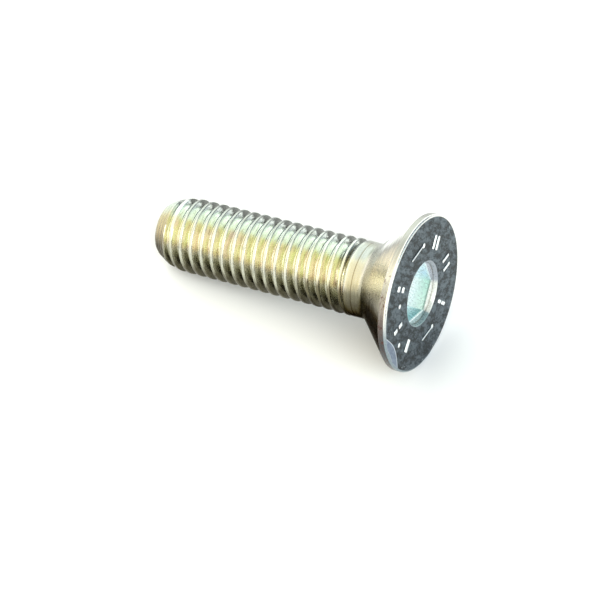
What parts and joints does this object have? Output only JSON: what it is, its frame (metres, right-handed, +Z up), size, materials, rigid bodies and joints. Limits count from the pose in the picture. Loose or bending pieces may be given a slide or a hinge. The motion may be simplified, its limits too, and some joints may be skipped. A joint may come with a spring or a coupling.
{
  "type": "countersunk socket screw",
  "caption": "Countersunk machine screw with a hexagon socket, a coarse right-hand thread that runs out below the head and a rounded tip, lying on its side.",
  "frame": {"origin": "middle of the bounding box's bottom face, on the surface the screw lies on", "axes": "+X along the screw from the tip to the head (the axis rises 9.3 degrees toward the head), +Z up, +Y sideways"},
  "size_m": [0.0314, 0.0164, 0.0163],
  "materials": {
    "zinc_plated_steel": "zinc plated and passivated, semi-bright, with faint yellow and blue-green tints"
  },
  "bodies": {
    "root": {"screw": "zinc_plated_steel"}
  },
  "joints": []
}
